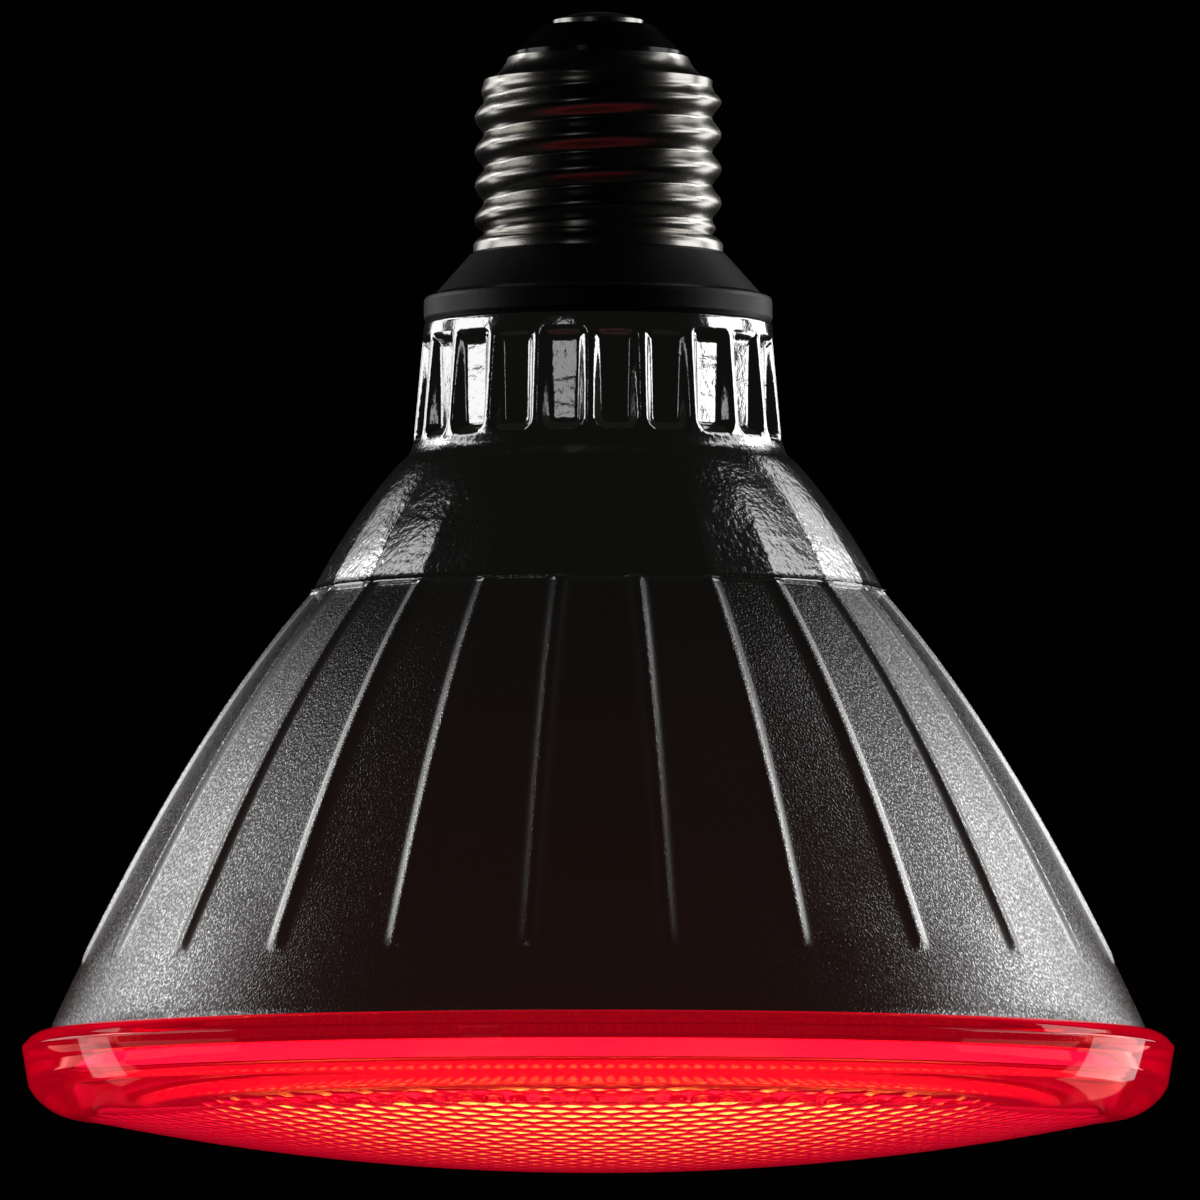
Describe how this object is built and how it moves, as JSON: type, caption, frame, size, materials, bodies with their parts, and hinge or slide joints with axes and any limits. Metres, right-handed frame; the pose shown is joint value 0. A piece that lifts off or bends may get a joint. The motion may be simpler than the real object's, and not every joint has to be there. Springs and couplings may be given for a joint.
{
  "type": "led par bulb",
  "caption": "Reflector lamp with a ribbed, mirror-coated pressed-glass body, a domed red lens, LEDs and a mains driver in its neck, and a large screw cap.",
  "frame": {"origin": "on the lamp axis, in the plane of the screw shell's lower rim", "axes": "+Z along the lamp axis towards the centre contact; the lens faces -Z; -Y is the viewed front"},
  "size_m": [0.122, 0.122, 0.1233],
  "materials": {
    "aluminised_glass": "pressed glass with a mirror coat inside",
    "red_lens": "clear red, glossy, with lenslets inside",
    "silicone": "translucent bead",
    "black_plastic": "fine moulded grain",
    "nickel_shell": "nickel-plated sheet",
    "black_insulator": "glossy black",
    "tinned_contact": "tinned brass",
    "sink_aluminium": "turned",
    "thermal_pad": "soft grey pad",
    "board_white": "white solder mask on aluminium",
    "led_phosphor": "yellow phosphor in a white package",
    "zinc_screw": "zinc plated",
    "solder": "bright solder",
    "wire_red": "insulated wire",
    "wire_black": "insulated wire",
    "wire_brown": "insulated wire",
    "wire_blue": "insulated wire",
    "board_green": "green solder mask",
    "ferrite": "sintered ferrite",
    "winding_tape": "yellow tape over wire",
    "can_sleeve": "shrink sleeve on a can",
    "film_case": "dipped case",
    "choke_copper": "enamelled wire on a drum",
    "chip_black": "moulded package",
    "fuse_body": "lacquered resistor"
  },
  "bodies": {
    "root": {"glass_body": "aluminised_glass", "front_lens": "red_lens", "lens_seal": "silicone", "neck_seal": "silicone", "driver_housing": "black_plastic", "screw_shell": "nickel_shell", "cap_insulator": "black_insulator", "centre_contact": "tinned_contact", "heat_sink": "sink_aluminium", "thermal_pad": "thermal_pad", "led_board": "board_white", "led_packages": "led_phosphor", "board_screws": "zinc_screw", "lead_solder": "solder", "led_lead_positive": "wire_red", "led_lead_negative": "wire_black", "live_lead": "wire_brown", "neutral_lead": "wire_blue", "driver_board": "board_green", "transformer_core": "ferrite", "transformer_winding": "winding_tape", "reservoir_capacitor": "can_sleeve", "film_capacitor": "film_case", "choke": "choke_copper", "control_chip": "chip_black", "bridge_rectifier": "chip_black", "fuse_resistor": "fuse_body"}
  },
  "joints": []
}
